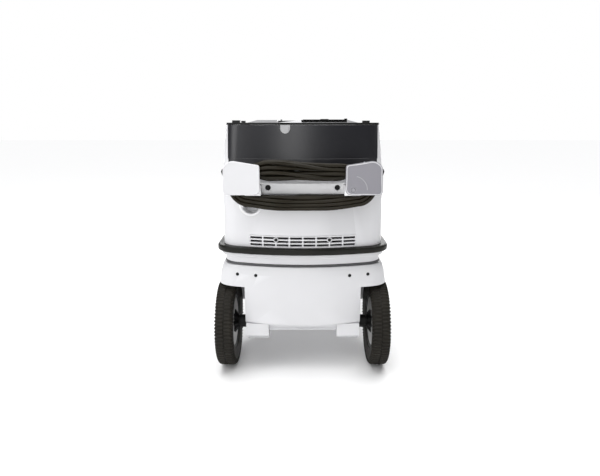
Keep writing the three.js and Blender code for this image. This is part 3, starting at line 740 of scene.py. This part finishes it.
def make_hub(name, side):
    """A dark rim and a ribbed grey disc round a star-shaped centre."""
    place = wheel_frame(f"tyre_{name}", side)
    body = f"wheel_{name}"
    rim = [(53, -12.4), (55, -14), (59.6, -14), (59.6, 13), (54, 13), (52, 12), (51, 3.5), (52, 0)]
    rim_mesh = ringed(f"hub_{name}_rim", rings_mm(rim), place, 96)
    rim_piece = add_piece(f"hub_{name}_rim", rim_mesh, black_plastic, body)
    disc = [(8.3, -12), (26, -12), (48, -12.4), (53, -12), (53, 4), (44, 3), (20, 3), (8.3, 3)]
    disc_mesh = ringed(f"hub_{name}_disc", rings_mm(disc), place, 96)
    disc_piece = add_piece(f"hub_{name}_disc", disc_mesh, hub_plastic, body)
    star = [(8.3, -22), (12, -22), (15.5, -20.8), (20, -17), (26, -13), (28, -11.6), (8.3, -11.6)]
    waist = [(8.3, -22), (12, -22), (14, -20.4), (16, -17), (19, -13), (20, -11.6), (8.3, -11.6)]
    star_mesh = ringed(f"hub_{name}_star", rings_mm(star), place, 32, between=rings_mm(waist))
    star_piece = add_piece(f"hub_{name}_star", star_mesh, black_plastic, body)
    boss = [(8.3, 2.8), (24, 2.8), (22, 6), (20.5, 14), (8.3, 14)]
    boss_mesh = ringed(f"hub_{name}_boss", rings_mm(boss), place, 64)
    boss_piece = add_piece(f"hub_{name}_boss", boss_mesh, black_plastic, body)
    spokes = 8
    outline = [(22, -3), (50, -2), (50, 2), (22, 3)]
    corners = [(x * MM, y * MM) for x, y in outline]
    foot = Matrix.Translation((0, 0, 2.5 * MM))
    for i in range(spokes):
        turned = place @ Matrix.Rotation(2 * math.pi / spokes * (i + 0.5), 4, "Z")
        mesh = prism(f"hub_{name}_spoke", corners, 4 * MM, turned @ foot)
        spoke = add_piece(f"hub_{name}_spoke_{i + 1}", mesh, hub_plastic, body)
        soften(spoke, 0.7 * MM)
    for piece in (rim_piece, disc_piece, boss_piece):
        soften(piece, 0.8 * MM)
    soften(star_piece, 0.5 * MM, 1)
    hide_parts(f"wheel_hub_{name}")


def make_cap(name, side):
    """The domed cap with a groove round it that hides the end of the axle."""
    profile = [
        (0, 14.3), (26, 14.3), (26, 15.3), (24.6, 16.8), (22, 18), (20.2, 18.4), (19.4, 17.6),
        (18.4, 17.6), (17.6, 18.6), (12, 19.1), (0, 19.3),
    ]
    mesh = ringed(f"cap_{name}", rings_mm(profile), wheel_frame(f"tyre_{name}", side), 72)
    cap = add_piece(f"cap_{name}", mesh, grey_plastic, f"wheel_{name}")
    soften(cap, 0.4 * MM)
    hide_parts(f"wheel_cap_{name}")


# ---------------------------------------------------------------- castors


def make_castor_wheel(name, side):
    """A grey wheel with a crowned rubber tread and ribs between its hub and its rim."""
    place = wheel_frame(f"castor_wheel_{name}", side)
    body = f"castor_roller_{name}"
    tread = [
        (29, 11.2), (34, 12), (36.4, 10.4), (37.8, 6), (38, 0),
        (37.8, -6), (36.4, -10.4), (34, -12), (29, -11.2),
    ]
    tread_mesh = ringed(f"castor_{name}_tread", rings_mm(tread), place, 72)
    tread_piece = add_piece(f"castor_{name}_tread", tread_mesh, tyre_rubber, body)
    centre = [
        (4.3, 12), (9, 12), (10, 11), (10, 4), (24, 4), (26, 10.5), (29.2, 10.5),
        (29.2, -10.5), (26, -10.5), (24, -4), (10, -4), (10, -11), (9, -12), (4.3, -12),
    ]
    centre_mesh = ringed(f"castor_{name}_centre", rings_mm(centre), place, 72)
    centre_piece = add_piece(f"castor_{name}_centre", centre_mesh, grey_plastic, body)
    for piece in (tread_piece, centre_piece):
        soften(piece, 0.5 * MM)
    ribs = 6
    for i in range(ribs):
        turned = place @ Matrix.Rotation(2 * math.pi / ribs * i, 4, "Z")
        mesh = bar_mm(f"castor_{name}_rib", (9, -1, -8), (27, 1, 8), turned)
        rib = add_piece(f"castor_{name}_rib_{i + 1}", mesh, grey_plastic, body)
        soften(rib, 0.4 * MM)
    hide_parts(f"castor_wheel_{name}")


# ---------------------------------------------------------------- cable holder


def screw_head(node):
    """A domed screw head with a six-lobed recess, seated in its node's place and facing the rear."""
    low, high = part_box(node)
    radius = (high.x - low.x) / 2
    depth = high.y - low.y
    place = frame_at(((low.x + high.x) / 2, low.y, (low.z + high.z) / 2), REARWARD)
    drive, recess = 0.46 * radius, 0.35 * radius
    dome = [(radius * 0.8, 0), (radius * 0.96, -0.22 * radius), (radius, -0.45 * radius)]
    outer = dome + [(radius, -depth), (0, -depth)]
    lobes = [(0, -recess), (drive, -recess), (drive * 1.06, 0)] + outer
    waists = [(0, -recess), (drive * 0.66, -recess), (drive * 0.7, 0)] + outer
    mesh = ringed(f"{node}_head", lobes, place, 24, between=waists)
    head = add_piece(f"{node}_head", mesh, black_plastic)
    soften(head, 0.15 * MM, 1, dissolve=0)
    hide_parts(node)


def raised_arc(name, centre, radius, width, height, sweep):
    """A thin raised line on a face that looks to the rear, from +x upward through sweep degrees."""
    count = round(sweep / 6)
    angles = [math.radians(sweep * i / count) for i in range(count + 1)]
    far, near = radius + width / 2, radius - width / 2
    outer = [(far * math.cos(a), far * math.sin(a)) for a in angles]
    inner = [(near * math.cos(a), near * math.sin(a)) for a in reversed(angles)]
    place = Matrix.Translation(centre) @ Matrix.Rotation(math.pi / 2, 4, "X")
    return prism(name, outer + inner, height, place)


def mark_right_bracket():
    """The right plate turns. A ring round its pivot and an arc show the way it goes."""
    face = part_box("bracket_right")[0].y
    pin_low, pin_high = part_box("bracket_pin")
    pivot_x, pivot_z = (pin_low.x + pin_high.x) / 2, (pin_low.z + pin_high.z) / 2
    place = frame_at((pivot_x, face, pivot_z), REARWARD)
    # The cap, ring and arc share the plate's darker grey, which is painted shade.
    cap_rings = rings_mm([(0, 0.2), (3.9, 0.2), (3.9, -8), (0, -8)])
    cap_mesh = ringed("bracket_pin_cap", cap_rings, place, 40)
    cap = add_piece("bracket_pin_cap", cap_mesh, painted_shade_plastic, "cable_bracket")
    soften(cap, 0.5 * MM)
    raised_rings = rings_mm([(5.0, 0.3), (6.4, 0.3), (6.4, -0.6), (5.0, -0.6)])
    ring_mesh = ringed("bracket_pivot_ring", raised_rings, place, 48)
    ring = add_piece("bracket_pivot_ring", ring_mesh, painted_shade_plastic, "cable_bracket")
    arc_foot = (pivot_x, face + 0.1 * MM, pivot_z)
    arc_mesh = raised_arc("bracket_arc", arc_foot, 26 * MM, 1.5 * MM, 0.5 * MM, 78)
    arc = add_piece("bracket_arc", arc_mesh, painted_shade_plastic, "cable_bracket")
    for piece in (ring, arc):
        soften(piece, 0.25 * MM, 1, dissolve=0)


def plate_rim(name, body):
    """A narrow raised rim just inside the outline of a bracket plate's rear face."""
    outer_inset, inner_inset = 1.3, 2.7
    proud, sunk = -0.35, 0.3
    low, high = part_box(name)
    node = nodes[name]
    front = [v.co for v in node.data.vertices if v.co.y < low.y + 0.05 * MM]
    middle = Vector(((low.x + high.x) / 2, 0, (low.z + high.z) / 2))
    count = 96
    edges = {}
    for inset in (outer_inset, inner_inset):
        loop = []
        for i in range(count):
            angle = 2 * math.pi * i / count
            toward = Vector((math.cos(angle), 0, math.sin(angle)))
            loop.append(middle + toward * (reach_inside(front, middle, toward) - inset * MM))
        edges[inset] = loop

    def build(bm):
        rings = []
        section = (
            (outer_inset, sunk), (outer_inset, proud), (inner_inset, proud), (inner_inset, sunk),
        )
        for inset, y in section:
            rings.append([bm.verts.new((p.x, low.y + y * MM, p.z)) for p in edges[inset]])
        for a, b in zip(rings, rings[1:] + rings[:1]):
            for i in range(count):
                j = (i + 1) % count
                bm.faces.new((a[i], a[j], b[j], b[i]))

    rim = add_piece(f"{name}_rim", mesh_of("plate_rim", build), light_plastic, body)
    soften(rim, 0.25 * MM, 1, dissolve=0)


def reach_inside(points, middle, toward):
    """How far the convex outline of these points lies from middle, measured toward one way."""
    flat = [(p.x - middle.x, p.z - middle.z) for p in points]
    hull = [Vector(flat[i]) for i in geometry.convex_hull_2d(flat)]
    ray = Vector((toward.x, toward.z)) * 0.2
    crossings = (
        geometry.intersect_line_line_2d((0, 0), ray, a, b) for a, b in zip(hull, hull[1:] + hull[:1])
    )
    return max(point.length for point in crossings if point)


def finish_holder():
    for name, _ in SIDES:
        screw_head(f"holder_screw_{name}")
        screw_head(f"grille_screw_{name}")
    mark_right_bracket()
    plate_rim("bracket_left", "machine")
    plate_rim("bracket_right", "cable_bracket")


# ---------------------------------------------------------------- tray and console


def rear_smoke_panel():
    """The tray's dark gloss goes on down the rear of the head as far as the cable's upper turns."""
    columns, levels, top = 48, [440, 445, 450, 455], 457.2
    half = 149 * MM
    proud, sunk = 0.5 * MM, -0.8 * MM

    def build(bm):
        skins = []
        for lift in (proud, sunk):
            skin = []
            for level in levels:
                row = []
                for i in range(columns + 1):
                    x = blend(-half, half, i / columns)
                    point = wall_point("head_housing", x, level * MM)
                    height = top if level == levels[-1] else level
                    row.append(bm.verts.new((x, point.y - lift, height * MM)))
                skin.append(row)
            skins.append(skin)
        outer, inner = skins
        last = len(levels) - 1
        for j in range(last):
            for i in range(columns):
                bm.faces.new((outer[j][i], outer[j][i + 1], outer[j + 1][i + 1], outer[j + 1][i]))
                bm.faces.new((inner[j][i], inner[j + 1][i], inner[j + 1][i + 1], inner[j][i + 1]))
            for i in (0, columns):
                bm.faces.new((outer[j][i], outer[j + 1][i], inner[j + 1][i], inner[j][i]))
        for i in range(columns):
            for j in (0, last):
                bm.faces.new((outer[j][i], outer[j][i + 1], inner[j][i + 1], inner[j][i]))

    mesh = mesh_of("rear_smoke_panel", build)
    panel = add_piece("rear_smoke_panel", mesh, gloss_plastic)
    soften(panel, 0.3 * MM, 1, dissolve=0)


def rear_lip():
    """A stiffening lip under the rear edge of the container, from leg to leg."""
    for name, low, high in (
        ("lip", (-71.6, -257, 98.5), (71.6, -245, 111)),
        ("lip_bead", (-71.6, -259, 97), (71.6, -250, 100)),
    ):
        mesh = bar_mm(name, low, high)
        piece = add_piece(f"rear_{name}", mesh, light_plastic)
        soften(piece, 0.8 * MM)


def plug_blind_holes():
    """Dark screws sunk in the four holes across the rear of the container."""
    beside = 6
    profile = [(0, -1.6), (1.4, -1.6), (1.6, -0.5), (3.2, -0.5), (3.5, -0.9), (3.5, -9), (0, -9)]
    for i, x in enumerate(BLIND_HOLES_X):
        left = wall_point("container", (x - beside) * MM, BLIND_HOLE_Z)
        right = wall_point("container", (x + beside) * MM, BLIND_HOLE_Z)
        place = frame_at((x * MM, (left.y + right.y) / 2, BLIND_HOLE_Z), REARWARD)
        mesh = ringed("sunk_screw", rings_mm(profile), place, 32)
        add_piece(f"sunk_screw_{i + 1}", mesh, black_plastic)


def on_panel(node, centre, normal, radius, angle):
    """A frame on a node's face, radius away from centre, turned by angle about the normal."""
    above = 60 * MM
    turned = frame_at(centre, normal, (1, 0, 0)) @ Matrix.Rotation(angle, 4, "Z")
    hit, point, _, _ = nodes[node].ray_cast(turned @ Vector((radius, 0, above)), -Vector(normal))
    turned.translation = point if hit else turned @ Vector((radius, 0, 0))
    return turned


def control_marks():
    """Plain scale marks round both controls, and a pointer on each."""
    normal = Vector((0, 0.533, 0.846))
    first, last = -60, 240
    controls = (("mode_knob", "mode_switch", 21.5, 5), ("suction_dial", "suction_control", 17, 9))
    for node, body, radius, count in controls:
        low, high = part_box(node)
        centre = (low + high) / 2
        for i in range(count):
            angle = math.radians(blend(first, last, i / (count - 1)))
            spot = on_panel("control_panel", centre, normal, radius * MM, angle)
            mesh = bar_mm("mark", (-1.6, -0.5, -0.5), (1.6, 0.5, 0.35), spot)
            add_piece(f"{node}_mark_{i + 1}", mesh, mark_plastic)
        spot = on_panel(node, centre, normal, radius * 0.36 * MM, math.radians(90))
        mesh = bar_mm("pointer", (-2.6, -0.7, -0.6), (2.6, 0.7, 0.4), spot)
        add_piece(f"{node}_pointer", mesh, mark_plastic, body)


def tray_front_panel():
    """The front wall of the hose tray, with a row of upright ribs. The wall is painted lighter than
    the ribs: painted light.
    """
    wall = 133
    rib_pitch = 38
    panel_mesh = bar_mm("tray_front_panel", (-143, wall - 1.6, 463), (143, wall + 0.4, 520.5))
    panel = add_piece("tray_front_panel", panel_mesh, painted_light_plastic)
    soften(panel, 0.6 * MM)
    for i in range(-3, 4):
        x = i * rib_pitch
        mesh = bar_mm("tray_rib", (x - 1.2, wall - 3.4, 465), (x + 1.2, wall - 1.2, 516))
        rib = add_piece(f"tray_rib_{i + 4}", mesh, light_plastic)
        soften(rib, 0.6 * MM)


def console_edge():
    """The dark strip along the rear edge of the console, in front of its lid."""
    mesh = bar_mm("console_edge", (-4, 138.6, 527.5), (120, 140.4, 533))
    soften(add_piece("console_edge", mesh, matt_black), 0.5 * MM)


def add_trims():
    tray_front_panel()
    console_edge()
    rear_smoke_panel()
    rear_lip()
    plug_blind_holes()
    control_marks()


# ---------------------------------------------------------------- the whole machine


def main():
    """The studio, the pieces that stand for CAD nodes, the trims, and the nodes shown as they are."""
    make_camera()
    make_studio()
    declare_cable()
    for name, side in SIDES:
        make_tyre(name, side)
        make_hub(name, side)
        make_cap(name, side)
        make_castor_wheel(name, side)
    finish_holder()
    add_trims()
    rebuilt = {
        "strain_relief", "cable_lead", "cable_coil", "cable_tail", "mains_plug",
        *(f"{kind}_{name}" for kind in REBUILT_PAIRS for name, _ in SIDES),
    }
    for name in nodes:
        if name not in rebuilt:
            carry_over(name, **CARRIED.get(name, {}))


main()
